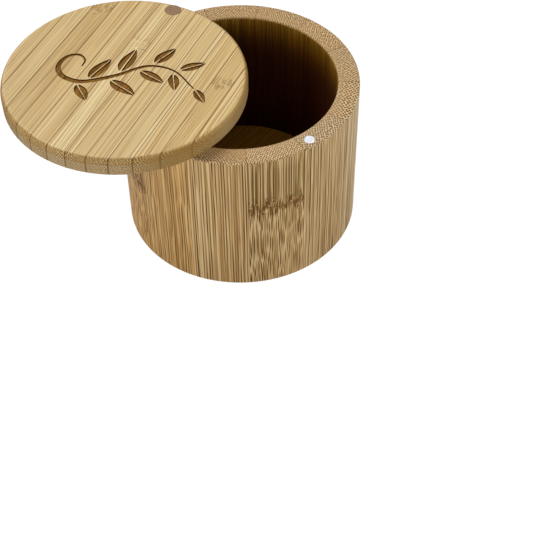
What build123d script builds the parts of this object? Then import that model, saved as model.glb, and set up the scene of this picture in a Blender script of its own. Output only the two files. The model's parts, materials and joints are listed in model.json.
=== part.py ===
"""A salt box with a swivel lid.

The tub is coopered: bamboo staves with mitred edges are glued into a ring, and the ring is turned
round. A floor of edge-glued bamboo strips sits in a rebate in its foot. The lid is a flat disc of
edge-glued bamboo strips that turns on one upright screw in the rim, and a pair of small magnets
straight across from the screw holds it shut.

Sizes are in millimetres and angles in degrees. The origin is the centre of the underside, +Z is up
and +Y points to the pivot. The lid is drawn open, turned about the pivot by lid_open_angle.
"""

from build123d import *
from math import cos, radians, sin
import os

# Tub, which the lid matches in diameter
box_diameter = 88.9
tub_height = 62.6
wall = 8.1
stave_count = 13
first_joint_angle = 14.8
rim_inner_round = 1.0
rim_outer_chamfer = 0.6
foot_chamfer = 0.6

# Floor of the tub
floor_thickness = 6.8
rebate_depth = 2.8
floor_strip_count = 10
floor_first_strip_share = 0.6
floor_grain_angle = 14.0

# Lid, whose first strip is the narrow one, trimmed when the disc was cut from its board
lid_thickness = 6.9
lid_gap = 0.35
lid_top_round = 2.0
lid_foot_chamfer = 0.4
lid_strip_count = 12
lid_first_strip_share = 0.84
lid_grain_skew = -1.0
lid_open_angle = -61.2

# Pivot: a pan-head wood screw, a spacer washer and a plug that hides the head
shank_diameter = 2.9
thread_core_diameter = 2.2
screw_grip_in_stave = 15.5
screw_tip_length = 2.0
screw_head_diameter = 5.5
screw_head_height = 1.7
screw_head_chamfer = 0.5
driver_slot_length = 3.0
driver_slot_width = 0.7
driver_slot_depth = 0.9
wood_under_head = 3.0
washer_diameter = 7.0
plug_diameter = 6.2
plug_edge_chamfer = 0.1

# Magnets, one in the rim and one in the lid, a little outside the middle of the rim
magnet_offset = 40.8
magnet_diameter = 4.0
magnet_length = 3.0
magnet_edge_chamfer = 0.2

# Fits
running_clearance = 0.05
head_clearance = 0.2
glue_line = 0.05

# A turned round edge is drawn as this many narrow flats: within 0.04 mm of the true arc, and light
# to mesh where the strips and staves cut through it
flats_per_round = 4

# Sizes that follow from those above
tub_radius = box_diameter / 2
bore_radius = tub_radius - wall
lid_radius = tub_radius
pivot_offset = tub_radius - wall / 2
stave_pitch = 360 / stave_count
floor_radius = bore_radius + rebate_depth
shank_radius = shank_diameter / 2
thread_core_radius = thread_core_diameter / 2
screw_head_radius = screw_head_diameter / 2
pivot_bore_radius = shank_radius + running_clearance
plug_radius = plug_diameter / 2
plug_hole_radius = plug_radius + glue_line
magnet_pocket_radius = magnet_diameter / 2 + glue_line
head_underside = lid_gap + wood_under_head + running_clearance
head_top = head_underside + screw_head_height
plug_thickness = lid_gap + lid_thickness - head_top - head_clearance

open_angle = radians(lid_open_angle)
lid_plane = Plane(
    origin=(pivot_offset * sin(open_angle), pivot_offset * (1 - cos(open_angle)), tub_height + lid_gap),
    x_dir=(cos(open_angle), sin(open_angle), 0),
    z_dir=(0, 0, 1),
)
lid_axis = Axis(lid_plane.origin, lid_plane.z_dir)
lid_section_plane = Plane(origin=lid_plane.origin, x_dir=lid_plane.x_dir, z_dir=-lid_plane.y_dir)
lid_top_plane = lid_plane.offset(lid_thickness)
lid_grain_plane = lid_plane.rotated((0, 0, 90 + lid_grain_skew))
floor_grain_plane = Plane.XY.rotated((0, 0, floor_grain_angle))
rim_plane = Plane.XY.offset(tub_height)
pivot_on_rim = (0, pivot_offset, tub_height)
pivot_section_plane = Plane(origin=pivot_on_rim, x_dir=(1, 0, 0), z_dir=(0, -1, 0))
pivot_axis = Axis(pivot_on_rim, (0, 0, 1))

os.makedirs("parts", exist_ok=True)


def keep(piece, name):
    """Labels a finished piece and writes it under its own name."""
    piece.label = name
    export_step(piece, f"parts/{name}.step")


def turned_round(centre_x, centre_y, radius, from_angle):
    """Points along a quarter of a circle, anticlockwise from from_angle, in a turned section."""
    angles = [radians(from_angle + 90 * flat / flats_per_round) for flat in range(flats_per_round + 1)]
    return [(centre_x + radius * cos(angle), centre_y + radius * sin(angle)) for angle in angles]


def strip_edges(radius, count, first_share):
    """Where the edges of a glued-up disc's strips lie across it. The first strip has first_share of
    the others' width."""
    width = 2 * radius / (count - 1 + first_share)
    return [-radius] + [-radius + width * (first_share + number) for number in range(count)]


def cut_into_strips(disc, grain_plane, radius, thickness, edges, name):
    """Saws a disc into its strips, which run along the grain plane's X, and keeps each one."""
    for number, (low, high) in enumerate(zip(edges, edges[1:]), start=1):
        with BuildPart() as strip:
            add(disc)
            with BuildSketch(grain_plane):
                with Locations((0, (low + high) / 2)):
                    Rectangle(2 * radius, high - low)
            extrude(amount=thickness, mode=Mode.INTERSECT)
        keep(strip.part, f"{name}_{number:02d}")


# The tub as it comes off the lathe, in one piece, with the rebate for the floor in its foot
rim_round_radius = bore_radius + rim_inner_round
rim_inner_edge = turned_round(rim_round_radius, tub_height - rim_inner_round, rim_inner_round, 90)
with BuildPart() as tub:
    with BuildSketch(Plane.XZ):
        with BuildLine():
            Polyline(
                (bore_radius, floor_thickness),
                (floor_radius, floor_thickness),
                (floor_radius, 0),
                (tub_radius - foot_chamfer, 0),
                (tub_radius, foot_chamfer),
                (tub_radius, tub_height - rim_outer_chamfer),
                (tub_radius - rim_outer_chamfer, tub_height),
                *rim_inner_edge,
                close=True,
            )
        make_face()
    revolve(axis=Axis.Z)
    # Pilot hole of the screw, with the drill's cone at its end
    with BuildSketch(pivot_section_plane):
        with BuildLine():
            Polyline(
                (0, 0),
                (thread_core_radius, 0),
                (thread_core_radius, screw_tip_length - screw_grip_in_stave),
                (0, -screw_grip_in_stave),
                close=True,
            )
        make_face()
    revolve(axis=pivot_axis, mode=Mode.SUBTRACT)
    # Pocket of the rim magnet
    with Locations((0, -magnet_offset, tub_height)):
        Hole(radius=magnet_pocket_radius, depth=magnet_length)

# The staves, anticlockwise from the first joint
wedge_reach = box_diameter
for stave_number in range(stave_count):
    from_angle = radians(first_joint_angle + stave_pitch * stave_number)
    to_angle = from_angle + radians(stave_pitch)
    with BuildPart() as stave:
        add(tub.part)
        with BuildSketch():
            with BuildLine():
                Polyline(
                    (0, 0),
                    (wedge_reach * cos(from_angle), wedge_reach * sin(from_angle)),
                    (wedge_reach * cos(to_angle), wedge_reach * sin(to_angle)),
                    close=True,
                )
            make_face()
        extrude(amount=tub_height, mode=Mode.INTERSECT)
    keep(stave.part, f"stave_{stave_number + 1:02d}")

# The floor: a disc of edge-glued strips
with BuildPart() as floor_disc:
    with BuildSketch():
        Circle(floor_radius - glue_line)
    extrude(amount=floor_thickness)
floor_edges = strip_edges(floor_radius, floor_strip_count, floor_first_strip_share)
cut_into_strips(floor_disc.part, floor_grain_plane, floor_radius, floor_thickness, floor_edges, "floor_strip")

# The lid: a disc of edge-glued strips, rounded over on top, bored for the screw, plug and magnet
lid_round_radius = lid_radius - lid_top_round
lid_top_edge = turned_round(lid_round_radius, lid_thickness - lid_top_round, lid_top_round, 0)
with BuildPart() as lid:
    with BuildSketch(lid_section_plane):
        with BuildLine():
            Polyline(
                (0, 0),
                (lid_radius - lid_foot_chamfer, 0),
                (lid_radius, lid_foot_chamfer),
                *lid_top_edge,
                (0, lid_thickness),
                close=True,
            )
        make_face()
    revolve(axis=lid_axis)
    with Locations(lid_top_plane):
        with Locations((0, pivot_offset)):
            CounterBoreHole(pivot_bore_radius, plug_hole_radius, lid_thickness - wood_under_head)
    # Seen from below the lid's Y axis is reversed, so this pocket is across from the pivot
    with Locations(-lid_plane):
        with Locations((0, magnet_offset)):
            Hole(magnet_pocket_radius, depth=magnet_length)
lid_edges = strip_edges(lid_radius, lid_strip_count, lid_first_strip_share)
cut_into_strips(lid.part, lid_grain_plane, lid_radius, lid_thickness, lid_edges, "lid_strip")

# The screw: its core bites into the pilot hole, and the lid turns on its smooth shank
with BuildPart() as pivot_screw:
    with BuildSketch(pivot_section_plane):
        with BuildLine():
            Polyline(
                (0, -screw_grip_in_stave),
                (thread_core_radius, screw_tip_length - screw_grip_in_stave),
                (thread_core_radius, 0),
                (shank_radius, 0),
                (shank_radius, head_underside),
                (screw_head_radius, head_underside),
                (screw_head_radius, head_top),
                (0, head_top),
                close=True,
            )
        make_face()
    revolve(axis=pivot_axis)
    chamfer(pivot_screw.edges().group_by(Axis.Z)[-1], screw_head_chamfer)
    with BuildSketch(rim_plane.offset(head_top)):
        with Locations((0, pivot_offset)):
            Rectangle(driver_slot_length, driver_slot_width)
            Rectangle(driver_slot_width, driver_slot_length)
    extrude(amount=-driver_slot_depth, mode=Mode.SUBTRACT)
keep(pivot_screw.part, "pivot_screw")

# The washer that holds the lid just clear of the rim
with BuildPart() as pivot_washer:
    with BuildSketch(rim_plane):
        with Locations((0, pivot_offset)):
            Circle(washer_diameter / 2)
            Circle(pivot_bore_radius, mode=Mode.SUBTRACT)
    extrude(amount=lid_gap)
keep(pivot_washer.part, "pivot_washer")

# The plug over the screw head, flush with the lid
with BuildPart() as pivot_plug:
    with BuildSketch(lid_top_plane):
        with Locations((0, pivot_offset)):
            Circle(plug_radius)
    extrude(amount=-plug_thickness)
    chamfer(pivot_plug.edges().group_by(Axis.Z)[-1], plug_edge_chamfer)
keep(pivot_plug.part, "pivot_plug")

# The magnets, flush in the rim and in the lid's underside
with BuildPart() as rim_magnet:
    with BuildSketch(rim_plane):
        with Locations((0, -magnet_offset)):
            Circle(magnet_diameter / 2)
    extrude(amount=-magnet_length)
    chamfer(rim_magnet.edges().group_by(Axis.Z)[-1], magnet_edge_chamfer)
keep(rim_magnet.part, "rim_magnet")

with BuildPart() as lid_magnet:
    with BuildSketch(lid_plane):
        with Locations((0, -magnet_offset)):
            Circle(magnet_diameter / 2)
    extrude(amount=magnet_length)
    chamfer(lid_magnet.edges().group_by(Axis.Z)[0], magnet_edge_chamfer)
keep(lid_magnet.part, "lid_magnet")
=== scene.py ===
# %% [markdown]
# # A bamboo salt box with a swivel lid
#
# The box is a small tub, coopered like a barrel: mitred bamboo staves glued into a ring and turned
# round. A disc of bamboo strips is its floor, and a second disc is its lid, which swings flat over the
# rim on one hidden screw. Two small magnets hold it shut.
#
# The CAD model comes in first, as a frame that nothing here may move. Blender then adds what the CAD
# model leaves out: true turned rounds, glue lines, the carving and the grain of the bamboo.
# Meshes are drawn in millimetres and become metres only when a piece is finished.

# %% Load the CAD frame
import json
import math
import random

import bmesh
import bpy
import numpy as np
from mathutils import Matrix, Vector

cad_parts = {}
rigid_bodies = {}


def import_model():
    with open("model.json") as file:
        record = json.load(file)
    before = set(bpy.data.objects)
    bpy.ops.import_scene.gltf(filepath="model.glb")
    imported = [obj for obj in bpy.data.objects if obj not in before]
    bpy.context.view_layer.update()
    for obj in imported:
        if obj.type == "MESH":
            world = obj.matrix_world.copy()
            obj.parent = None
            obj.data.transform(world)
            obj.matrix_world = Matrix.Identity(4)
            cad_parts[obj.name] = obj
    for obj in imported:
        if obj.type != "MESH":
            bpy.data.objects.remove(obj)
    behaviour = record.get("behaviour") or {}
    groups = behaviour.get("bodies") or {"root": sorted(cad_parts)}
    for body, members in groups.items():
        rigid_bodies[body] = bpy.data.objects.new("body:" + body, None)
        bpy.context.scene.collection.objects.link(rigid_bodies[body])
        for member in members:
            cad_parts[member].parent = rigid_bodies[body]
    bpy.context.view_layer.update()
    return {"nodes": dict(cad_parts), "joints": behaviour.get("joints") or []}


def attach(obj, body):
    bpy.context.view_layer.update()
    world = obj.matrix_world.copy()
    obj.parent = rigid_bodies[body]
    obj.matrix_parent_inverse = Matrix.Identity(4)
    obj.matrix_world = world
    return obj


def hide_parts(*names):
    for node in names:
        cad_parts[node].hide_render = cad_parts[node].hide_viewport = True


for leftover in list(bpy.data.objects):
    bpy.data.objects.remove(leftover)

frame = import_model()
nodes = frame["nodes"]
MM = 0.001

# %% [markdown]
# ## Measuring the frame
#
# The finer pieces must lie exactly where their CAD nodes are, so their sizes are measured on those
# nodes and not typed in again. Every node keeps its place in its vertices, which makes that simple: a
# radius is a largest or smallest distance from an axis, and a joint between two strips lies where
# both have the same vertices.


# %% Measure the tub
def node_points(*names):
    """The vertices of some CAD nodes, in millimetres."""
    return np.vstack([[v.co[:] for v in nodes[name].data.vertices] for name in names]) / MM


def named(prefix):
    """The CAD nodes of one kind, in order."""
    return sorted(name for name in nodes if name.startswith(prefix))


staves, floor_strips, lid_strips = named("stave_"), named("floor_strip_"), named("lid_strip_")
tub = node_points(*staves)
tub_reach = np.hypot(tub[:, 0], tub[:, 1])
at_foot, at_rim = tub[:, 2] < 0.001, tub[:, 2] > tub[:, 2].max() - 0.001

tub_radius, bore_radius, tub_height = tub_reach.max(), tub_reach.min(), tub[:, 2].max()
rebate_radius = tub_reach[at_foot].min()
foot_chamfer = tub_radius - tub_reach[at_foot].max()
rim_chamfer = tub_radius - tub_reach[at_rim].max()
rim_round = tub_reach[at_rim].min() - bore_radius
floor_height = node_points(*floor_strips)[:, 2].max()
pivot = Vector(frame["joints"][0]["pos_m"][:2]) / MM
print(f"tub {2 * tub_radius:.2f} across, bore {2 * bore_radius:.2f}, height {tub_height:.2f} mm")


# %% Measure the two discs of strips
class Disc:
    """A disc glued up from strips: its centre, reach and heights, the way its strips run, and the
    lines across it where they meet."""

    def __init__(self, names, centre):
        points = node_points(*names)
        self.names, self.centre = names, centre
        self.bottom, self.top = points[:, 2].min(), points[:, 2].max()
        reach = np.hypot(points[:, 0] - centre.x, points[:, 1] - centre.y)
        self.radius = reach.max()
        self.bottom_radius = reach[points[:, 2] < self.bottom + 0.001].max()
        self.top_radius = reach[points[:, 2] > self.top - 0.001].max()
        middle = len(names) // 2
        here = {tuple(p) for p in np.round(node_points(names[middle - 1])[:, :2], 2)}
        shared = np.array([p for p in np.round(node_points(names[middle])[:, :2], 2) if tuple(p) in here])
        spread = shared[:, None] - shared[None]
        far = np.unravel_index(np.argmax((spread**2).sum(2)), spread.shape[:2])
        self.along = Vector(spread[far]).normalized()
        if self.along.dot(pivot - centre) < 0:
            self.along.negate()
        self.across = Vector((-self.along.y, self.along.x))
        cuts = [self.over(node_points(name))[1] for name in names]
        self.edges = [cuts[0].min()] + [(a.max() + b.min()) / 2 for a, b in zip(cuts, cuts[1:])]
        self.edges.append(cuts[-1].max())

    def over(self, points):
        """Places along and across the strips, from the disc's centre."""
        flat = np.asarray(points)[:, :2] - np.array(self.centre)
        return flat @ np.array(self.along), flat @ np.array(self.across)


lid_magnet = node_points("lid_magnet")
lid_magnet_centre = Vector((lid_magnet[:, :2].min(0) + lid_magnet[:, :2].max(0)) / 2)
# The lid's centre is over the box's when it is shut, so both are equally far from the pivot
lid = Disc(lid_strips, pivot + (lid_magnet_centre - pivot).normalized() * pivot.length)
floor_disc = Disc(floor_strips, Vector((0, 0)))
if lid.edges[1] - lid.edges[0] > lid.edges[-1] - lid.edges[-2]:
    print("the lid's narrow strip is the last one")
print("lid centre", [round(c, 2) for c in lid.centre], "joints", [round(e, 2) for e in lid.edges])
print("floor joints", [round(e, 2) for e in floor_disc.edges])


# %% [markdown]
# ## Colours and nodes
#
# Colours are written as the hex values that a screen shows. Blender's shaders work in linear light,
# so one function turns them over. A second one adds a node, sets its options, feeds its inputs and
# hands back the output that the next node needs, which keeps each material readable from top to
# bottom.


# %% Two helpers for materials
def linear(hex_colour):
    """An sRGB hex colour as linear RGBA."""
    parts = [int(hex_colour[i : i + 2], 16) / 255 for i in (1, 3, 5)]
    return [p / 12.92 if p <= 0.04045 else ((p + 0.055) / 1.055) ** 2.4 for p in parts] + [1.0]


def wire(tree, kind, feeds=None, take=None, stops=None, **options):
    """Adds a node, sets its options and feeds its inputs with values or with other nodes' outputs.
    Stops are a colour ramp's places and hex colours. Gives the output called take, or the first."""
    made = tree.nodes.new("ShaderNode" + kind)
    for option, value in options.items():
        setattr(made, option, value)
    live = [socket for socket in made.inputs if socket.enabled]
    for key, value in (feeds or {}).items():
        socket = live[key] if isinstance(key, int) else next(s for s in live if s.name == key)
        if isinstance(value, bpy.types.NodeSocket):
            tree.links.new(value, socket)
        else:
            socket.default_value = value
    for number, (place, colour) in enumerate(stops or []):
        elements = made.color_ramp.elements
        stop = elements[number] if number < len(elements) else elements.new(place)
        stop.position, stop.color = place, linear(colour)
    return made.outputs[take] if take else next((s for s in made.outputs if s.enabled), None)


def new_material(name):
    """An empty material and its node tree."""
    material = bpy.data.materials.new(name)
    material.use_nodes = True
    material.node_tree.nodes.clear()
    return material, material.node_tree


# %% [markdown]
# ## Bamboo
#
# Bamboo is a grass. Its wall is pale soft tissue with hard dark bundles of fibre running straight up
# the culm, 0.5 to 0.8 mm apart, crowded towards the skin and sparse towards the hollow. Sawn along,
# the bundles are fine streaks that taper where they wander out of the cut. Sawn across, they are dots.
# A streak image could only be right on one of those faces. A solid pattern is right on all of them, so
# the material is worked out in three dimensions, from coordinates in millimetres that each piece
# carries in its own vertices:
#
# - fibre holds the place in the culm: across it, into its wall and up along the fibres.
# - edges holds the distance to the glue joint on either side, and the height above the knuckle where
#   a leaf once grew.
# - look holds the depth under the skin, and how light and how warm this one strip is.
# - inner holds how far below the rim a place in the well is, or below the lid's top, which sets the
#   painted shade by depth.
#
# The surface is turned or planed, fine sanded and left bare, with a satin sheen. Bamboo's index of
# refraction is near 1.5 and its roughness about 0.5 where it is sanded along and 0.7 on the end grain.


# %% Make the bamboo materials
def bamboo(name, fibre_way, tint):
    """Bamboo whose fibres run along fibre_way. Tint holds its hex colours and a few shares."""
    material, tree = new_material(name)

    def reckon(operation, *values):
        return wire(tree, "Math", dict(enumerate(values)), operation=operation)

    def fade(value, low, high, to_low, to_high):
        feeds = {0: value, 1: low, 2: high, 3: to_low, 4: to_high}
        return wire(tree, "MapRange", feeds, interpolation_type="SMOOTHSTEP")

    def blend(factor, first, second):
        second = linear(second) if isinstance(second, str) else second
        return wire(tree, "Mix", {"Factor": factor, "A": first, "B": second}, data_type="RGBA")

    def noise(vector, across, through, along, detail=1.0):
        """Noise whose grain is so many millimetres across, through and along the fibres."""
        scale = (1 / across, 1 / through, 1 / along)
        place = wire(tree, "VectorMath", {0: vector, 1: scale}, operation="MULTIPLY")
        return wire(tree, "TexNoise", {0: place, "Scale": 1.0, "Detail": detail})

    def carried(attribute):
        return wire(tree, "Attribute", take="Vector", attribute_name=attribute)

    def parts(vector):
        return wire(tree, "SeparateXYZ", {0: vector}).node.outputs

    fibre = carried("fibre")
    to_low, to_high, knuckle = parts(carried("edges"))
    depth, tone, warmth = parts(carried("look"))
    inside, waviness, scarred = parts(carried("inner"))

    # Height above the knuckle, whose line wavers, and what lies on either side of it
    waver = reckon("MULTIPLY_ADD", noise(fibre, 2.2, 2.2, 400.0), 4.0, -2.0)
    slant = reckon("MULTIPLY", reckon("MAXIMUM", reckon("MULTIPLY", knuckle, -1.0), 0.0), tint["slant"])
    knuckle = reckon("ADD", knuckle, waver)
    thick, reach = tint["knuckle"]
    ring = fade(reckon("ABSOLUTE", knuckle), 0.4 * thick, thick, 1.0, 0.0)
    above = reckon("MULTIPLY", fade(knuckle, 0.0, thick, 0.0, 1.0), fade(knuckle, reach * 0.7, reach, 1.0, 0.0))
    below = reckon("MULTIPLY", fade(knuckle, -thick, 0.0, 1.0, 0.0), fade(knuckle, -2.0 * reach, -1.5 * reach, 0.0, 1.0))

    # Bundles drift sideways by some 0.2 mm every 20 mm, and swerve round the knuckle
    drift = noise(fibre, 3.0, 3.0, 24.0).node.outputs["Color"]
    drift = wire(tree, "VectorMath", {0: drift, 1: (0.5, 0.5, 0.5)}, operation="SUBTRACT")
    swerve = reckon("MULTIPLY_ADD", ring, 1.2, reckon("MULTIPLY_ADD", waviness, 0.6, 0.25))
    drift = wire(tree, "VectorMath", {0: drift, "Scale": swerve}, operation="SCALE")
    bent = wire(tree, "VectorMath", {0: drift, 1: (1.2, 1.2, 0.0), 2: fibre}, operation="MULTIPLY_ADD")

    # They also wander in and out of the wall, and below a knuckle they slant out of it. A cut along
    # them meets first one row and then the next, which breaks the lines into dashes that lie like braid
    wander = reckon("SUBTRACT", noise(fibre, 8.0, 60.0, 20.0), 0.5)
    wander = reckon("MULTIPLY", wander, reckon("MULTIPLY_ADD", below, tint["braid"], waviness))
    wander = reckon("ADD", wander, slant)
    across, through, along = parts(bent)
    through = reckon("ADD", through, wander)

    # Bundles stand in staggered rows, half a millimetre apart, and every one has a shade of its own.
    # Dots that fine would blur to a plain brown from arm's length, where a real rim still shows them.
    # They are drawn twice as coarse: regular for the dots of the end grain, and less so along it
    def bundles(across_pitch, through_pitch, randomness):
        first = reckon("ADD", reckon("DIVIDE", across, across_pitch), reckon("DIVIDE", through, through_pitch))
        second = reckon("SUBTRACT", reckon("DIVIDE", across, across_pitch), reckon("DIVIDE", through, through_pitch))
        feeds = {0: wire(tree, "CombineXYZ", {0: first, 1: second}), "Scale": 1.0, "Randomness": randomness}
        cells = wire(tree, "TexVoronoi", feeds, "Distance", voronoi_dimensions="2D").node.outputs
        return cells["Distance"], parts(cells["Color"])

    away, chances = bundles(*tint["lines"], 0.6)
    core, halo = fade(away, 0.2, 0.4, 1.0, 0.0), fade(away, 0.4, 0.56, 0.0, 1.0)
    away, _ = bundles(*tint["dots"], 0.3)
    end_core, end_halo = fade(away, 0.22, 0.4, 1.0, 0.0), fade(away, 0.42, 0.58, 0.0, 1.0)
    crowding = fade(depth, 0.5, 8.5, 1.0, tint["inner_bundles"])
    taper = fade(noise(fibre, 0.8, 0.8, tint["taper"]), 0.36, 0.52, 0.3, 1.0)
    patchy = fade(noise(fibre, 9.0, 2.4, 220.0), 0.42, 0.6, tint["plain_tissue"], 1.0)
    along_strength = reckon("MULTIPLY", reckon("MULTIPLY", crowding, patchy), taper)
    strength = reckon("MULTIPLY", crowding, reckon("MULTIPLY_ADD", patchy, 0.5, 0.5))

    # Fine fibres 0.4 mm wide, and soft bands of tissue 1.6 mm wide. Above a knuckle the bands are
    # narrow, olive and brown
    fine = noise(bent, 0.4, 0.4, 40.0, 2.0)
    bands = noise(bent, 1.6, 1.6, 100.0, 2.0)
    ground = wire(tree, "ValToRGB", {0: bands}, stops=[(0.32, tint["deep"]), (0.62, tint["pale"])])
    ground = blend(reckon("MULTIPLY", chances[1], tint["shades"]), ground, tint["moss"])
    stops = [(0.36, tint["scar"]), (0.46, tint["olive"]), (0.56, tint["moss"]), (0.66, tint["gleam"])]
    broad = wire(tree, "ValToRGB", {0: noise(bent, 0.65, 0.65, 160.0)}, stops=stops)
    ground = blend(reckon("MULTIPLY", above, tint["banding"]), ground, broad)
    ground = blend(fade(fine, 0.3, 0.6, tint["fine"], 0.0), ground, tint["streak"])
    ground = blend(reckon("MULTIPLY", reckon("MULTIPLY", halo, along_strength), tint["glow"]), ground, tint["gleam"])
    streak = blend(fade(chances[0], 0.3, 0.9, 0.0, 0.6), linear(tint["streak"]), tint["deep"])
    colour = blend(reckon("MULTIPLY", reckon("MULTIPLY", core, along_strength), tint["line"]), ground, streak)

    # Across the fibres every bundle is a dark dot on pale tissue
    end = blend(fade(fine, 0.4, 0.65, 0.0, 0.25), linear(tint["end"]), tint["end_gleam"])
    end = blend(reckon("MULTIPLY", reckon("MULTIPLY", end_halo, strength), tint["end_glow"]), end, tint["end_gleam"])
    end = blend(reckon("MULTIPLY", reckon("MULTIPLY", end_core, strength), 0.95), end, tint["dot"])
    facing = {0: wire(tree, "TexCoord", take="Normal"), 1: fibre_way}
    facing = wire(tree, "VectorMath", facing, "Value", operation="DOT_PRODUCT")
    endness = fade(reckon("ABSOLUTE", facing), 0.15, 0.5, 0.0, 1.0)
    colour = blend(endness, colour, end)

    # The knuckle is a ring of brown strokes, one for each bundle and each at a height of its own. Dark
    # pits run through the wall there, and the tissue round each one is pale
    ring = fade(reckon("ABSOLUTE", reckon("ADD", knuckle, reckon("MULTIPLY_ADD", chances[2], 5.0, -2.5))), 0.4 * thick, 1.2 * thick, 1.0, 0.0)
    pit_place = wire(tree, "VectorMath", {0: fibre, 1: (1 / 2.4, 1 / 12, 1 / 2.0)}, operation="MULTIPLY")
    pit = wire(tree, "TexVoronoi", {0: pit_place, "Scale": 1.0, "Randomness": 0.9}, "Distance")
    broken = fade(noise(bent, 0.55, 0.55, 2.2), 0.38, 0.53, 0.35, 1.0)
    scar = blend(scarred, linear(tint["ring"]), tint["scar"])
    colour = blend(reckon("MULTIPLY", reckon("MULTIPLY", ring, broken), tint["ring_share"]), colour, scar)
    colour = blend(reckon("MULTIPLY", ring, fade(pit, 0.2, 0.3, 0.6, 0.0)), colour, tint["gleam"])
    colour = blend(reckon("MULTIPLY", ring, fade(pit, 0.1, 0.2, 1.0, 0.0)), colour, tint["pit"])

    # A glue line is 0.1 mm of dark resin. It is drawn 0.3 mm wide, because a hair would not show
    glue = reckon("MULTIPLY_ADD", endness, -0.08, reckon("MINIMUM", to_low, to_high))
    glue = fade(glue, 0.05, 0.22, 1.0, 0.0)
    colour = blend(reckon("MULTIPLY", glue, tint["glue_line"]), colour, tint["glue"])

    # A side that faces across the strips, such as the lid's upright side, is darkened towards an olive brown. This is
    # painted shade
    painted_side_shade = {0: wire(tree, "TexCoord", take="Normal"), 1: (-fibre_way[1], fibre_way[0], 0.0)}
    painted_side_shade = wire(tree, "VectorMath", painted_side_shade, "Value", operation="DOT_PRODUCT")
    painted_side_shade = fade(reckon("ABSOLUTE", painted_side_shade), 0.35, 0.8, 0.0, 0.75)
    colour = blend(painted_side_shade, colour, tint["painted_side_colour"])

    # Each strip has a tone and a warmth of its own. Then a colour set by the depth below the rim, or below
    # the lid's top, is multiplied in. It is painted shade: the well's wall and floor darken with depth to a
    # warm near-black brown, and the lid's upright edge gets a dark line and a duller band under its rounding
    light = reckon("MULTIPLY_ADD", tone, 0.1, 1.0)
    red, blue = reckon("MULTIPLY_ADD", warmth, 0.03, 1.0), reckon("MULTIPLY_ADD", warmth, -0.06, 1.0)
    shade = wire(tree, "CombineXYZ", {0: red, 1: 1.0, 2: blue})
    colour = wire(tree, "VectorMath", {0: colour, 1: shade}, operation="MULTIPLY")
    colour = wire(tree, "VectorMath", {0: colour, "Scale": light}, operation="SCALE")
    painted_shade_by_depth = wire(tree, "ValToRGB", {0: reckon("DIVIDE", inside, 60.0)}, stops=tint["painted_shade_by_depth"])
    colour = wire(tree, "VectorMath", {0: colour, 1: painted_shade_by_depth}, operation="MULTIPLY")

    # Sanding leaves the hard bundles a few hundredths of a millimetre proud of the soft tissue
    height = reckon("SUBTRACT", reckon("MULTIPLY_ADD", core, 0.6, fine), glue)
    bump = wire(tree, "Bump", {"Strength": 0.45, "Distance": 0.04 * MM, "Height": height})
    roughness = reckon("MULTIPLY_ADD", fine, 0.14, reckon("MULTIPLY_ADD", endness, 0.14, 0.46))
    feeds = {"Base Color": colour, "Roughness": roughness, "Normal": bump, "IOR": 1.5, "Specular IOR Level": 0.18}
    wire(tree, "OutputMaterial", {0: wire(tree, "BsdfPrincipled", feeds)})
    return material


def flat_way(way):
    """A direction on a disc as a vector in space."""
    return (way.x, way.y, 0.0)


wall_tint = {
    "pale": "#d8bb97", "deep": "#b28f65", "streak": "#563200", "gleam": "#ecdcc0", "olive": "#8a6b22", "moss": "#a98c46",
    # The last colour on the next line is painted shade, for sides that face across the strips
    "end": "#d1ad89", "end_gleam": "#fff3dc", "dot": "#5a3608", "ring": "#6c4700", "scar": "#6c4700", "pit": "#221002", "painted_side_colour": "#8a6a30",
    "glue": "#6b4824", "line": 1.0, "glow": 0.8, "fine": 0.4, "shades": 0.3, "inner_bundles": 0.3, "plain_tissue": 0.7,
    "glue_line": 0.35, "banding": 0.85, "ring_share": 0.95, "end_glow": 0.85, "knuckle": (3.3, 24.0), "taper": 32.0,
    "braid": 2.0, "slant": 0.12, "lines": (1.0, 1.6), "dots": (1.05, 1.4),
    # Painted shade by depth below the rim: the well's wall darkens to a warm near-black brown
    "painted_shade_by_depth": [
        (0.0, "#e6dbbc"), (0.013, "#b59b44"), (0.033, "#b09233"), (0.067, "#9c7c26"), (0.117, "#866618"),
        (0.167, "#704e10"), (0.233, "#5c380e"), (0.3, "#502c0a"), (0.55, "#5a2a12"),
    ],
}  # fmt: skip
lid_tint = wall_tint | {
    "pale": "#eedbb7", "deep": "#ddc59c", "streak": "#9c7034", "gleam": "#fff6e0", "olive": "#b3935c", "moss": "#d6c198",
    "end": "#a78a62", "end_gleam": "#dac79e", "dot": "#6c4a1c", "ring": "#dcc79c", "scar": "#9a7440", "glue": "#6e4718",
    "line": 0.8, "glow": 0.65, "fine": 0.4, "inner_bundles": 0.35, "plain_tissue": 0.35, "glue_line": 0.88,
    "banding": 0.5, "ring_share": 0.6, "knuckle": (1.9, 4.0), "taper": 50.0, "braid": 0.6, "slant": 0.04,
    "lines": (1.2, 1.0), "dots": (1.2, 0.85),
    # Painted shade on the lid's upright edge: a dark line and a duller band under its rounding
    "painted_shade_by_depth": [(0.0, "#e6dbbc"), (0.033, "#e6dbbc"), (0.0365, "#c3b592"), (0.04, "#e1e1db")],
}  # fmt: skip
# The floor's top, at the bottom of the well, takes a warm dark painted shade
floor_tint = lid_tint | {"glue_line": 0.4, "pale": "#fde8b0", "deep": "#e8cc94", "streak": "#8a6636", "painted_shade_by_depth": [(0.0, "#e6d3ae"), (0.9, "#ffcc60")]}
stave_bamboo = bamboo("turned_bamboo", (0, 0, 1), wall_tint)
lid_bamboo = bamboo("sanded_bamboo", flat_way(lid.along), lid_tint)
floor_bamboo = bamboo("planed_bamboo", flat_way(floor_disc.along), floor_tint)
print("bamboo:", [m.name for m in (stave_bamboo, lid_bamboo, floor_bamboo)])

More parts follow.
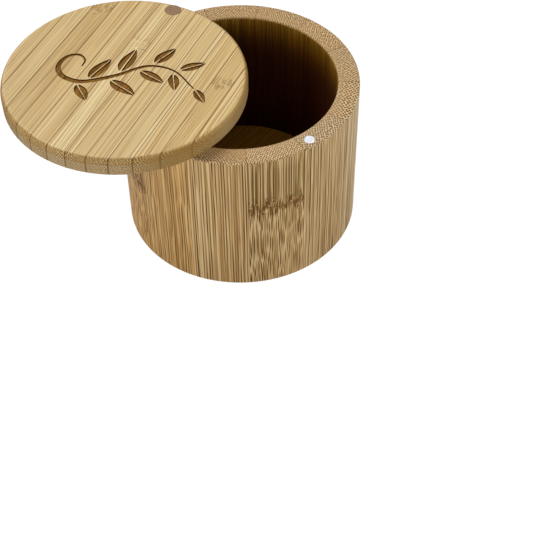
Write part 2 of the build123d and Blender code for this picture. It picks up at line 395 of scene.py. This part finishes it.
# %% [markdown]
# ## Scorched bamboo
#
# The carving on the lid was burnt in by a laser. The beam chars the steep sides of each line almost
# black, and leaves the bottom a mid brown in which the hard bundles still show as fine hatching. One
# material does both: it reads which way a face looks, and darkens what isn't level.


# %% Make the scorched bamboo
def scorched_bamboo():
    material, tree = new_material("scorched_bamboo")
    fibre = wire(tree, "Attribute", take="Vector", attribute_name="fibre")
    scaled = wire(tree, "VectorMath", {0: fibre, 1: (1 / 0.4, 1 / 0.4, 1 / 12)}, operation="MULTIPLY")
    hatch = wire(tree, "TexNoise", {0: scaled, "Scale": 1.0, "Detail": 2.0})
    bottom = wire(tree, "ValToRGB", {0: hatch}, stops=[(0.38, "#5e3a0c"), (0.6, "#8f6526")])
    upward = wire(tree, "SeparateXYZ", {0: wire(tree, "TexCoord", take="Normal")}, "Z")
    level = wire(tree, "MapRange", {0: upward, 1: 0.8, 2: 0.97, 3: 0.0, 4: 1.0})
    colour = wire(tree, "Mix", {"Factor": level, "A": linear("#402200"), "B": bottom}, data_type="RGBA")
    bump = wire(tree, "Bump", {"Strength": 0.5, "Distance": 0.05 * MM, "Height": hatch})
    feeds = {"Base Color": colour, "Roughness": 0.85, "Normal": bump, "IOR": 1.5, "Specular IOR Level": 0.15}
    wire(tree, "OutputMaterial", {0: wire(tree, "BsdfPrincipled", feeds)})
    return material


scorched = scorched_bamboo()

# %% [markdown]
# ## Turning the staves
#
# The real ring of staves is glued up square edged and turned on a lathe, so its rim, bore and foot are
# one clean surface that runs across the joints. A lathe is also how the mesh is made: a section with
# real arcs is swept about the upright axis, from one joint of the stave to the next. Just before each
# joint the surface dips by a few hundredths of a millimetre, the fine groove that a glue line has after
# sanding. The sweep gives even quads all round, which a bevel on the CAD mesh wouldn't.


# %% Sections and sweeps
GLUE_DIP, GLUE_HALF_WIDTH = 0.05, 0.09


def arc(x, y, radius, from_degrees, to_degrees, steps=8):
    """Points along an arc in a section."""
    turns = np.radians(np.linspace(from_degrees, to_degrees, steps + 1))
    return [(x + radius * math.cos(t), y + radius * math.sin(t)) for t in turns]


def shrunk(loop, distance):
    """A closed anticlockwise outline moved inwards by a small distance."""
    loop = np.asarray(loop, float)
    back, ahead = loop - np.roll(loop, 1, 0), np.roll(loop, -1, 0) - loop
    normals = [np.stack([-w[:, 1], w[:, 0]], 1) / np.linalg.norm(w, axis=1)[:, None] for w in (back, ahead)]
    middle = normals[0] + normals[1]
    middle *= (2 / (middle**2).sum(1))[:, None]
    return loop + distance * middle


def sweep(sections, turns, centre=(0, 0)):
    """A closed solid from one section for each turn, in radians, about an upright axis."""
    mesh = bmesh.new()
    rings = [
        [mesh.verts.new((centre[0] + r * math.cos(turn), centre[1] + r * math.sin(turn), z)) for r, z in section]
        for section, turn in zip(sections, turns)
    ]
    count = len(rings[0])
    for ring, following in zip(rings, rings[1:]):
        for i in range(count):
            j = (i + 1) % count
            mesh.faces.new((ring[i], ring[j], following[j], following[i]))
    mesh.faces.new(rings[0][::-1])
    mesh.faces.new(rings[-1])
    bmesh.ops.recalc_face_normals(mesh, faces=mesh.faces)
    return mesh


def lathe(section, centre, steps=360):
    """A closed solid of revolution from an open section that starts and ends on or near the axis."""
    mesh = bmesh.new()
    turns = np.linspace(0, 2 * math.pi, steps, endpoint=False)
    rings = [
        [mesh.verts.new((centre[0] + r * math.cos(t), centre[1] + r * math.sin(t), z)) for t in turns]
        for r, z in section
    ]
    for ring, following in zip(rings, rings[1:]):
        for i in range(steps):
            j = (i + 1) % steps
            mesh.faces.new((ring[i], ring[j], following[j], following[i]))
    mesh.faces.new(rings[0][::-1])
    mesh.faces.new(rings[-1])
    bmesh.ops.recalc_face_normals(mesh, faces=mesh.faces)
    return mesh


# %% Cutting and finishing pieces
def cut_away(mesh, tool):
    """Takes the tool's volume out of a bmesh with an exact boolean, and gives the new bmesh."""
    things = []
    for shape in (mesh, tool):
        data = bpy.data.meshes.new("blank")
        shape.to_mesh(data)
        shape.free()
        things.append(bpy.data.objects.new("blank", data))
        bpy.context.collection.objects.link(things[-1])
    modifier = things[0].modifiers.new("cut", "BOOLEAN")
    modifier.operation, modifier.solver, modifier.object = "DIFFERENCE", "EXACT", things[1]
    bpy.context.view_layer.update()
    seen = things[0].evaluated_get(bpy.context.evaluated_depsgraph_get())
    result = bmesh.new()
    result.from_mesh(seen.to_mesh())
    seen.to_mesh_clear()
    for thing in things:
        bpy.data.objects.remove(thing)
    bmesh.ops.remove_doubles(result, verts=result.verts, dist=0.0005)
    return result


def finish_piece(mesh, name, body, replaced, materials, attributes):
    """Turns a bmesh in millimetres into a piece in metres that rides on a body in a node's place."""
    data = bpy.data.meshes.new(name)
    mesh.to_mesh(data)
    mesh.free()
    for material in materials:
        data.materials.append(material)
    points = np.array([v.co[:] for v in data.vertices])
    for label, values in attributes(points).items():
        store = data.attributes.new(label, "FLOAT_VECTOR", "POINT")
        store.data.foreach_set("vector", np.stack(values, 1).astype(np.float32).ravel())
    data.transform(Matrix.Scale(MM, 4))
    data.shade_smooth()
    data.set_sharp_from_angle(angle=math.radians(32))
    piece = bpy.data.objects.new(name, data)
    bpy.context.collection.objects.link(piece)
    weighted = piece.modifiers.new("even_normals", "WEIGHTED_NORMAL")
    weighted.keep_sharp = True
    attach(piece, body)
    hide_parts(replaced)
    return piece


# %% [markdown]
# ## The ring of staves
#
# Each stave is a plain board before it is turned, with the culm's skin outwards. Its grain
# coordinates are therefore those of a flat board, even where its face is curved, and the turned wall
# cuts a little deeper into the middle of each stave than at its joints. That is what gives a turned
# bamboo tub its slightly different streaks from stave to stave.
# Some boards lean by a degree or two, so that their bundles leave the surface in short tapered dashes.

# %% Make the staves
stave_section = (
    [(rebate_radius, 0)]
    + [(tub_radius - foot_chamfer + 0.05, 0)]
    + arc(tub_radius - foot_chamfer, foot_chamfer, foot_chamfer, -80, 0, 5)
    + arc(tub_radius - rim_chamfer, tub_height - rim_chamfer, rim_chamfer, 0, 90, 4)
    + arc(bore_radius + rim_round, tub_height - rim_round, rim_round, 90, 180, 8)
    + [(bore_radius, floor_height), (rebate_radius, floor_height)]
)
# The tone and warmth of each stave, the lean of its fibres in mm per mm, its knuckle's height, how
# far its bundles wander into the wall and back, in mm, and how closely they stand
# The tones and warmths are partly each stave's own and partly painted shade: stave_06 and stave_07 on the left are
# darker and warmer, and stave_11 is lighter and cooler, as the light falls on the tub
stave_looks = {
    "stave_06": (-2.3, 4.9, 0.01, 34.5, 0.8, 0.75),
    "stave_07": (-1.7, 3.2, 0.015, None, 1.4, 1.0),
    "stave_08": (-0.6, 0.0, 0.008, None, 0.2, 1.0),
    "stave_09": (-1.6, 0.0, 0.008, 39.5, 0.2, 1.12),
    "stave_10": (-0.3, -1.8, 0.008, None, 0.9, 0.95),
    "stave_11": (0.6, -3.6, 0.006, None, 0.3, 0.65),
}
# End grain takes the finish in its own way, so on the rim some staves are lighter or darker
rim_looks = {"stave_08": (-1.5, 0.6), "stave_09": (0.0, -0.8), "stave_11": (-0.2, -0.4)}
draw = random.Random(13)
rim_magnet = node_points("rim_magnet")
rim_magnet_centre = (rim_magnet[:, :2].min(0) + rim_magnet[:, :2].max(0)) / 2
magnet_radius = (rim_magnet[:, 0].max() - rim_magnet[:, 0].min()) / 2
magnet_depth = rim_magnet[:, 2].max() - rim_magnet[:, 2].min()
POCKET_GLUE = 0.05
NONE_NEAR = 999.0

for name in staves:
    points = node_points(name)
    middle = points[:, :2].mean(0)
    middle_turn = math.atan2(middle[1], middle[0])
    relative = (np.arctan2(points[:, 1], points[:, 0]) - middle_turn + math.pi) % (2 * math.pi) - math.pi
    first, last = middle_turn + relative.min(), middle_turn + relative.max()
    lip = GLUE_HALF_WIDTH / tub_radius
    turns = [first, *np.linspace(first + lip, last - lip, 15), last]
    dipped = shrunk(stave_section, GLUE_DIP)
    sections = [dipped] + [stave_section] * 15 + [dipped]
    mesh = sweep(sections, turns)
    if name == "stave_10":
        pocket = [
            (0.01, tub_height - magnet_depth),
            (magnet_radius + POCKET_GLUE, tub_height - magnet_depth),
            (magnet_radius + POCKET_GLUE, tub_height - 0.1),
            (magnet_radius + POCKET_GLUE + 0.1, tub_height),
            (magnet_radius + POCKET_GLUE + 0.1, tub_height + 1),
            (0.01, tub_height + 1),
        ]
        mesh = cut_away(mesh, lathe(pocket, rim_magnet_centre, 64))
    if name == "stave_03":
        screw = node_points("pivot_screw")
        low_end = screw[:, 2].min()
        core = np.hypot(screw[:, 0] - pivot.x, screw[:, 1] - pivot.y)[screw[:, 2] < tub_height - 1].max()
        pilot = [(0.01, low_end), (core, low_end + 2), (core, tub_height + 1), (0.01, tub_height + 1)]
        mesh = cut_away(mesh, lathe(pilot, pivot, 48))
    # Without a look of its own, a stave draws one. All draws are seeded, so that every run agrees
    drawn = (draw.uniform(-1.6, 0), draw.uniform(-1, 1), draw.uniform(-0.02, 0.02), None, draw.uniform(0.2, 1.2), 1.0)
    look = stave_looks.get(name, drawn)
    rim_look = rim_looks.get(name, look[:2])
    offset = (draw.uniform(0, 90), draw.uniform(0, 90), draw.uniform(0, 900))
    out = np.array([math.cos(middle_turn), math.sin(middle_turn)])
    side = np.array([-out[1], out[0]])
    joints = [np.array([-math.sin(first), math.cos(first)]), np.array([math.sin(last), -math.cos(last)])]

    thinning = {"stave_08": 1.2}.get(name, 0.6)

    def board(p, out=out, side=side, joints=joints, offset=offset, look=look, rim_look=rim_look, thinning=thinning):
        depth = tub_radius - p[:, :2] @ out
        bar = np.ones(len(p))
        above = p[:, 2] - look[3] if look[3] else NONE_NEAR * bar
        on_rim = p[:, 2] > tub_height - 0.01
        in_well = (np.hypot(p[:, 0], p[:, 1]) < bore_radius + 0.3) & (p[:, 2] > floor_height - 0.1)
        return {
            "fibre": (p[:, :2] @ side * look[5] + offset[0], depth + look[2] * p[:, 2] + offset[1], p[:, 2] + offset[2]),
            "edges": (p[:, :2] @ joints[0], p[:, :2] @ joints[1], above),
            "look": (depth * thinning, np.where(on_rim, rim_look[0], look[0]), np.where(on_rim, rim_look[1], look[1])),
            "inner": (np.where(in_well, tub_height - p[:, 2], 0.0), look[4] * bar, bar),
        }

    finish_piece(mesh, "bamboo_" + name, "box", name, [stave_bamboo], board)
print("staves:", len(staves))

# %% [markdown]
# ## Strips for the lid and the floor
#
# A bamboo board is glued up from strips that stand on edge, and the disc is sawn from that board. The
# same order works here: turn the whole disc, cut what goes through several strips, then part it along
# the joints. Each strip ends up as a closed solid with its own grain, and edges that meet exactly.
# Because the strips stand on edge, the culm's wall runs across each one: bundles crowd towards one
# side of it and thin out towards the other.


# %% Part a disc into its strips
def part_strip(disc_mesh, disc, low, high):
    """One strip of a disc, with its sawn sides closed and a fine glue groove along them."""
    strip = disc_mesh.copy()
    ways = Vector((*disc.across, 0))
    centre = Vector((*disc.centre, 0))
    cuts = [(low, -1), (high, 1)]
    whole = disc.radius + 1
    for place, sign in cuts:
        if abs(place) > disc.radius - 0.01:
            continue
        for inset, clear in ((0.0, True), (GLUE_HALF_WIDTH, False)):
            bmesh.ops.bisect_plane(
                strip,
                geom=strip.verts[:] + strip.edges[:] + strip.faces[:],
                dist=0.0002,
                plane_co=centre + ways * (place - sign * inset),
                plane_no=ways * sign,
                clear_outer=clear,
            )
        open_edges = [e for e in strip.edges if e.is_boundary]
        made = bmesh.ops.holes_fill(strip, edges=open_edges, sides=0)["faces"]
        bmesh.ops.recalc_face_normals(strip, faces=strip.faces)
        for face in made:
            loop = [v for v in face.verts]
            flat = [((v.co - centre).dot(Vector((*disc.along, 0))), v.co.z) for v in loop]
            area = sum(a[0] * b[1] - b[0] * a[1] for a, b in zip(flat, flat[1:] + flat[:1]))
            if area < 0:
                loop, flat = loop[::-1], flat[::-1]
            for vertex, (x, z) in zip(loop, shrunk(flat, GLUE_DIP)):
                across = (vertex.co - centre).dot(ways)
                vertex.co = centre + Vector((*disc.along, 0)) * x + ways * across + Vector((0, 0, z))
    return strip


def strip_board(disc, low, high, offset, look):
    """Gives the grain coordinates of a strip that stands on edge."""
    tone, warmth, lean, knuckle, flip, scarred = look

    def board(p):
        along, across = disc.over(p)
        depth = (high - across) if flip else (across - low)
        bar = np.ones(len(p))
        above = along - knuckle if knuckle is not None else NONE_NEAR * bar
        # The disc's own rim is no joint
        to_low = across - low if low > disc.edges[0] else NONE_NEAR * bar
        to_high = high - across if high < disc.edges[-1] else NONE_NEAR * bar
        # The floor's top lies at the bottom of the well and takes the well's painted shade, and below its rounding the
        # lid's edge gets painted shade: a dark line and a duller band
        depth_below = disc.top - p[:, 2]
        if disc is floor_disc:
            depth_below = np.where(depth_below < 0.3, 60.0, 0.0)
        return {
            "fibre": (p[:, 2] - disc.bottom + offset[0], depth + lean * along + offset[1], along + offset[2]),
            "edges": (to_low, to_high, above),
            "look": (depth, tone * bar, warmth * bar),
            "inner": (depth_below, 0.2 * bar, scarred * bar),
        }

    return board


# %% Make the floor
floor_section = [
    (floor_disc.radius - 0.2, floor_disc.bottom),
    (floor_disc.radius, floor_disc.bottom + 0.2),
    (floor_disc.radius, floor_disc.top - 0.2),
    (floor_disc.radius - 0.2, floor_disc.top),
]
floor_mesh = lathe(floor_section, floor_disc.centre, 240)
draw = random.Random(7)
for name, low, high in zip(floor_strips, floor_disc.edges, floor_disc.edges[1:]):
    look = (draw.uniform(-0.8, 0.8), draw.uniform(-0.5, 0.5), draw.uniform(-0.01, 0.01), None, draw.random() < 0.5, 0)
    offset = (draw.uniform(0, 90), draw.uniform(0, 90), draw.uniform(0, 900))
    mesh = part_strip(floor_mesh, floor_disc, low, high)
    board = strip_board(floor_disc, low, high, offset, look)
    finish_piece(mesh, "bamboo_" + name, "box", name, [floor_bamboo], board)
floor_mesh.free()
print("floor strips:", len(floor_strips))

# %% [markdown]
# ## The carving
#
# A leafy sprig is burnt into the lid, of the kind that any engraving shop has in its pattern book. It
# is drawn as pen strokes: each has a line down its middle and a width that swells and tapers. A stroke
# turns into a wedge-sided cutter, wide above the wood and a little narrower at its bottom, because a
# laser leaves sloping sides. The strokes never touch each other, so the boolean meets only simple
# closed shapes. Real depth, and not a painted mark, keeps the lines dark from every side.

# %% Draw the sprig
CARVING_DEPTH, SIDE_SLOPE = 0.4, 0.2
sprig_start, sprig_right = Vector((-14.0, 21.0)), Vector((13.0, -51.0)).normalized()
sprig_up = Vector((-sprig_right.y, sprig_right.x))


def smooth_path(corners, steps):
    """A smooth curve through a few points, as many short steps."""
    corners = np.asarray(corners, float)
    padded = np.vstack([2 * corners[0] - corners[1], corners, 2 * corners[-1] - corners[-2]])
    path = []
    for a, b, c, d in zip(padded, padded[1:], padded[2:], padded[3:]):
        for t in np.linspace(0, 1, steps, endpoint=False):
            path.append(
                0.5 * (2 * b + (c - a) * t + (2 * a - 5 * b + 4 * c - d) * t**2 + (3 * b - a - 3 * c + d) * t**3)
            )
    return np.array(path + [corners[-1]])


def stroke(path, widths):
    """A pen stroke: its middle line and its width at each point of it."""
    return np.asarray(path, float), np.maximum(np.asarray(widths, float), 0.16)


def swelling(count, thin, thick, at=0.5):
    """Widths that swell from thin to thick and back, thickest at a share of the way."""
    t = np.linspace(0, 1, count)
    t = np.where(t < at, t / at, (1 - t) / (1 - at))
    return thin + (thick - thin) * np.sin(t * math.pi / 2) ** 1.5


def leaf(base, degrees, length, width, bend):
    """Two halves of a leaf, one each side of a midrib that is left uncut."""
    t = np.linspace(0.03, 0.99, 26)
    way = np.array([math.cos(math.radians(degrees)), math.sin(math.radians(degrees))])
    side = np.array([-way[1], way[0]])
    rib = np.array(base) + np.outer(t * length, way) + np.outer(bend * np.sin(math.pi * t / 2) ** 2, side)
    reach = width / 2 * np.sin(math.pi * t**0.8) ** 0.9
    midrib = 0.09 + 0.12 * (1 - t**3)
    kept = reach > midrib + 0.06
    return [
        stroke((rib + np.outer(sign * (reach + midrib) / 2, side))[kept], (reach - midrib)[kept])
        for sign in (1, -1)
    ]


# The stem curls in at its root. Leaves stand on it in turn: where along it, which way, how long and
# wide, and how much they bend, in millimetres and degrees
stem_corners = [(7.6, 10.6), (7.9, 13.9), (5.2, 16.5), (1.6, 15.4), (-0.6, 11.6), (-0.2, 6.9), (3.6, 3.2), (10.5, 2.4)]
stem_corners += [(21, 7.4), (31, 14.2), (41, 13.2), (50.0, 4.8)]
stem = smooth_path(stem_corners, 12)
strokes = [stroke(stem, swelling(len(stem), 0.55, 2.1, 0.55))]
LEAF_GAP = 1.9
for place, degrees, length, width, bend in [
    (8.0, -64, 9.5, 4.4, 1.1),
    (11.5, 72, 13.0, 5.0, -1.3),
    (18.0, -40, 12.5, 5.0, 1.4),
    (21.5, 84, 13.5, 5.2, -1.3),
    (28.0, -36, 11.0, 4.6, 1.2),
    (32.5, 66, 11.0, 4.8, -1.2),
    (41.0, -82, 9.0, 4.0, 0.9),
    (42.0, 40, 10.0, 4.2, -1.1),
]:
    outer = stem[6 * 12 :]
    foot_of_leaf = outer[np.argmin(np.abs(outer[:, 0] - place))]
    way = np.array([math.cos(math.radians(degrees)), math.sin(math.radians(degrees))])
    strokes += leaf(foot_of_leaf + LEAF_GAP * way, degrees, length, width, bend)
strokes += leaf(stem[-1] + np.array([0.5, -0.6]), -48, 8.0, 3.6, -0.6)
print("pen strokes:", len(strokes))


# %% Turn the strokes into a cutter
def carving_tool():
    tool = bmesh.new()
    for path, widths in strokes:
        places = [sprig_start + sprig_right * x + sprig_up * y for x, y in path]
        path = np.array([lid.centre + lid.along * p.x + lid.across * p.y for p in places])
        way = np.gradient(path, axis=0)
        way /= np.linalg.norm(way, axis=1)[:, None]
        side = np.stack([-way[:, 1], way[:, 0]], 1)
        rings = []
        for point, normal, width in zip(path, side, widths):
            slope = min(SIDE_SLOPE, width * 0.3)
            over = 0.1 * slope / CARVING_DEPTH
            ring = []
            for reach, z in (
                (width / 2 + over, lid.top + 0.1),
                (-width / 2 - over, lid.top + 0.1),
                (slope - width / 2, lid.top - CARVING_DEPTH),
                (width / 2 - slope, lid.top - CARVING_DEPTH),
            ):
                ring.append(tool.verts.new((*(point + normal * reach), z)))
            rings.append(ring)
        for ring, following in zip(rings, rings[1:]):
            for i in range(4):
                j = (i + 1) % 4
                tool.faces.new((ring[i], ring[j], following[j], following[i]))
        tool.faces.new(rings[0][::-1])
        tool.faces.new(rings[-1])
    bmesh.ops.recalc_face_normals(tool, faces=tool.faces)
    return tool


# %% [markdown]
# ## The lid
#
# The lid's top edge is rounded over with a router, whose bit leaves a hair-fine shoulder where the
# round meets the upright edge. Holes for the plug, the screw's shank and the magnet are cut through
# the whole disc before it is parted, as the drill does it.

# %% Make the lid
SHOULDER = 0.08
top_round = lid.radius - lid.top_radius
foot = lid.radius - lid.bottom_radius
lid_section = (
    [(lid.bottom_radius - 0.15, lid.bottom)]
    + arc(lid.radius - foot, lid.bottom + foot, foot, -90, 0, 4)
    + [(lid.radius, lid.top - top_round - SHOULDER)]
    + [(x - SHOULDER * (1 - k / 8), y) for k, (x, y) in enumerate(arc(lid.top_radius, lid.top - top_round, top_round, 0, 90, 8))]
    + [(lid.top_radius - 0.2, lid.top)]
)
lid_mesh = lathe(lid_section, lid.centre)
plug = node_points("pivot_plug")
plug_hole = (plug[:, 0].max() - plug[:, 0].min()) / 2 + POCKET_GLUE
screw = node_points("pivot_screw")
shank_reach = np.hypot(screw[:, 0] - pivot.x, screw[:, 1] - pivot.y)
shank = shank_reach[np.abs(screw[:, 2] - tub_height) < 0.01].max()
BORE_CLEARANCE, WOOD_UNDER_HEAD = 0.05, 3.0
pivot_hole = [
    (0.01, lid.bottom - 1),
    (shank + BORE_CLEARANCE, lid.bottom - 1),
    (shank + BORE_CLEARANCE, lid.bottom + WOOD_UNDER_HEAD),
    (plug_hole, lid.bottom + WOOD_UNDER_HEAD),
    (plug_hole, lid.top + 1),
    (0.01, lid.top + 1),
]
magnet_pocket = [
    (0.01, lid.bottom - 1),
    (magnet_radius + POCKET_GLUE, lid.bottom - 1),
    (magnet_radius + POCKET_GLUE, lid.bottom + magnet_depth),
    (0.01, lid.bottom + magnet_depth),
]
lid_mesh = cut_away(lid_mesh, lathe(pivot_hole, pivot, 64))
lid_mesh = cut_away(lid_mesh, lathe(magnet_pocket, lid_magnet_centre, 64))
lid_mesh = cut_away(lid_mesh, carving_tool())

# The tone and warmth of each strip, the lean of its fibres, its knuckle's place, whether the culm's
# skin is on its far side, and whether its knuckle is a brown scar or only a pale patch
lid_looks = {
    "lid_strip_01": (0.5, 0.6, 0.007, None, True, 0),
    "lid_strip_02": (0.1, 0.8, 0.004, 9.0, True, 1),
    "lid_strip_03": (0.3, 0.3, 0.005, None, True, 0),
    "lid_strip_04": (0.5, -0.5, -0.006, None, False, 0),
    "lid_strip_05": (0.5, -0.3, 0.0, None, False, 0),
    "lid_strip_06": (0.2, -0.1, 0.006, None, True, 0),
    "lid_strip_07": (1.1, -1.1, 0.004, 18.0, False, 0),
    "lid_strip_08": (-0.0, 0.1, -0.004, None, False, 0),
    "lid_strip_09": (-0.4, 0.5, -0.004, None, False, 0),
    "lid_strip_10": (-1.3, 1.0, 0.006, 30.0, True, 1),
    "lid_strip_11": (-0.6, 0.1, 0.003, None, False, 0),
    "lid_strip_12": (-0.7, 0.3, -0.005, None, True, 0),
}
draw = random.Random(29)
for name, low, high in zip(lid_strips, lid.edges, lid.edges[1:]):
    offset = (draw.uniform(0, 90), draw.uniform(0, 90), draw.uniform(0, 900))
    mesh = part_strip(lid_mesh, lid, low, high)
    for face in mesh.faces:
        spot = face.calc_center_median()
        flat = Vector(spot[:2])
        inside = (flat - lid.centre).length < lid.top_radius - 1 and (flat - pivot).length > plug_hole + 0.5
        if inside and lid.top - CARVING_DEPTH - 0.01 < spot.z < lid.top - 0.06 and abs(face.normal.dot(Vector((*lid.across, 0)))) < 0.999:
            face.material_index = 1
    board = strip_board(lid, low, high, offset, lid_looks[name])
    finish_piece(mesh, "bamboo_" + name, "lid", name, [lid_bamboo, scorched], board)
lid_mesh.free()
print("lid strips:", len(lid_strips))

# %% [markdown]
# ## The fittings
#
# The plug over the screw is a slice of dark wood cut across its grain, like walnut: its pores are
# dots some 0.2 mm wide and its year rings are soft bands. The magnets are pressed neodymium, plated
# with nickel: a mirror-like warm white metal with the faint mottling of the plating bath. The screw is
# zinc-plated steel and the washer is nylon. These shapes are right as the CAD model has them, so the
# nodes stay and only get their finish.


# %% Finish the plug, the magnets, the screw and the washer
def plain_finish(name, size_mm, light, dark, metallic, roughness, rough_spread, bump_mm, ior=None):
    """A finish that is mottled at one real size: colours, roughness and a fine relief follow it."""
    material, tree = new_material(name)
    place = wire(tree, "TexCoord", take="Object")
    feeds = {0: place, "Scale": 1 / (size_mm * MM), "Detail": 3.0}
    mottle = wire(tree, "TexNoise", feeds)
    colour = wire(tree, "ValToRGB", {0: mottle}, stops=[(0.35, dark), (0.65, light)])
    rough = {0: mottle, 1: 0.3, 2: 0.7, 3: roughness - rough_spread, 4: roughness + rough_spread}
    feeds = {
        "Base Color": colour,
        "Metallic": metallic,
        "Roughness": wire(tree, "MapRange", rough),
        "Normal": wire(tree, "Bump", {"Strength": 0.4, "Distance": bump_mm * MM, "Height": mottle}),
    }
    if ior:
        feeds["IOR"] = ior
    wire(tree, "OutputMaterial", {0: wire(tree, "BsdfPrincipled", feeds)})
    return material


finishes = {
    "pivot_plug": plain_finish("walnut_end_grain", 0.35, "#8c6b43", "#6a4a2b", 0.0, 0.6, 0.08, 0.05, 1.5),
    "rim_magnet": plain_finish("nickel_plating", 0.6, "#e3e3ea", "#dcdce4", 1.0, 0.3, 0.04, 0.0003),
    "pivot_screw": plain_finish("zinc_plated_steel", 0.4, "#c9ccd0", "#a9adb3", 1.0, 0.32, 0.07, 0.01),
    "pivot_washer": plain_finish("nylon", 0.8, "#e9e4d6", "#ddd6c4", 0.0, 0.42, 0.05, 0.01, 1.53),
}
finishes["lid_magnet"] = finishes["rim_magnet"]
for name, finish in finishes.items():
    data = nodes[name].data
    data.materials.clear()
    data.materials.append(finish)
    print(name, "is", finish.name)

# %% [markdown]
# ## The stage
#
# The box stands on a plain white sweep. What the camera sees of the floor is nearly white whatever
# the lamps do, and keeps a faint shadow, while the light that the floor throws back at the box is that
# of ordinary white card. The world does the same: white to the camera and in reflections, and a dim
# even light to everything else.

# %% Make the floor and the world
stage_mesh = bmesh.new()
bmesh.ops.create_grid(stage_mesh, x_segments=8, y_segments=8, size=4.0)
stage_data = bpy.data.meshes.new("white_card_floor")
stage_mesh.to_mesh(stage_data)
stage_mesh.free()
stage = bpy.data.objects.new("white_card_floor", stage_data)
stage.location.z = -0.0001
bpy.context.collection.objects.link(stage)

card, tree = new_material("white_card")
sight = wire(tree, "LightPath", take="Is Camera Ray")
lit = wire(tree, "BsdfDiffuse", {"Color": linear("#f2f0ec")})
glow = wire(tree, "Emission", {"Color": (1, 1, 1, 1), "Strength": 1.05})
share = wire(tree, "Math", {0: sight, 1: 0.93}, operation="MULTIPLY")
wire(tree, "OutputMaterial", {0: wire(tree, "MixShader", {0: share, 1: lit, 2: glow})})
stage_data.materials.append(card)

AMBIENT = 0.12
world = bpy.data.worlds.new("white_room")
bpy.context.scene.world = world
world.use_nodes = True
tree = world.node_tree
tree.nodes.clear()
path = wire(tree, "LightPath").node.outputs
seen = wire(tree, "Math", {0: path["Is Camera Ray"], 1: path["Is Glossy Ray"]}, operation="MAXIMUM")
seen = wire(tree, "Math", {0: seen, 1: path["Is Transmission Ray"]}, operation="MAXIMUM")
dim = wire(tree, "Background", {"Color": (1, 1, 1, 1), "Strength": AMBIENT})
white = wire(tree, "Background", {"Color": (1, 1, 1, 1), "Strength": 1.0})
wire(tree, "OutputWorld", {0: wire(tree, "MixShader", {0: seen, 1: dim, 2: white})})

# %% [markdown]
# ## The lamps
#
# The photograph's light comes from behind and above on the left, with a broad soft light low in
# front. The well stays dark, because the high lamp shines into its near side and the low one only
# reaches the first centimetres below the rim, and painted shade in the bamboo's colour darkens it
# further. Each lamp's power is worked out from its distance: a matt surface that faces it is lit to
# the given share of its own colour.


# %% Hang the lamps
def lamp(name, turn, height, distance, size, share):
    """A square soft light at a turn about the box and a height above the floor, both in degrees."""
    data = bpy.data.lights.new(name, "AREA")
    data.size = size
    data.energy = share * math.pi**2 * distance**2
    turn, height = math.radians(turn), math.radians(height)
    out = Vector((math.cos(turn) * math.cos(height), math.sin(turn) * math.cos(height), math.sin(height)))
    made = bpy.data.objects.new(name, data)
    made.location = aim + out * distance
    made.rotation_euler = out.to_track_quat("Z", "Y").to_euler()
    bpy.context.collection.objects.link(made)
    print(name, f"{data.energy:.2f} W")
    return made


aim = Vector((0, 0, tub_height / 2)) * MM
lamp("high_back_light", 101, 48, 0.9, 0.5, 0.91)
lamp("low_front_light", -128, 18, 1.0, 0.7, 0.5)
lamp("left_light", 165, 4, 1.0, 0.3, 0.28)
lamp("right_light", -45, 15, 1.0, 0.5, 0.55)

# %% [markdown]
# ## The camera
#
# The camera's place and lens were worked out from the photograph: the ellipses of the rim and the lid
# fix how far down it looks, and how they shrink with distance fixes the lens.

# %% Place the camera
camera_data = bpy.data.cameras.new("camera")
camera = bpy.data.objects.new("camera", camera_data)
bpy.context.collection.objects.link(camera)
bpy.context.scene.camera = camera
camera_data.sensor_width, camera_data.lens = 36.0, 86.871
VIEW_TURN, VIEW_DOWN, VIEW_ROLL = -37.958, 48.685, -0.502
camera.matrix_world = (
    Matrix.Translation((-0.21709, -0.29603, 0.37438))
    @ Matrix.Rotation(math.radians(VIEW_TURN), 4, "Z")
    @ Matrix.Rotation(math.radians(90 - VIEW_DOWN), 4, "X")
    @ Matrix.Rotation(math.radians(VIEW_ROLL), 4, "Z")
)
bpy.context.scene.view_settings.view_transform = "Standard"
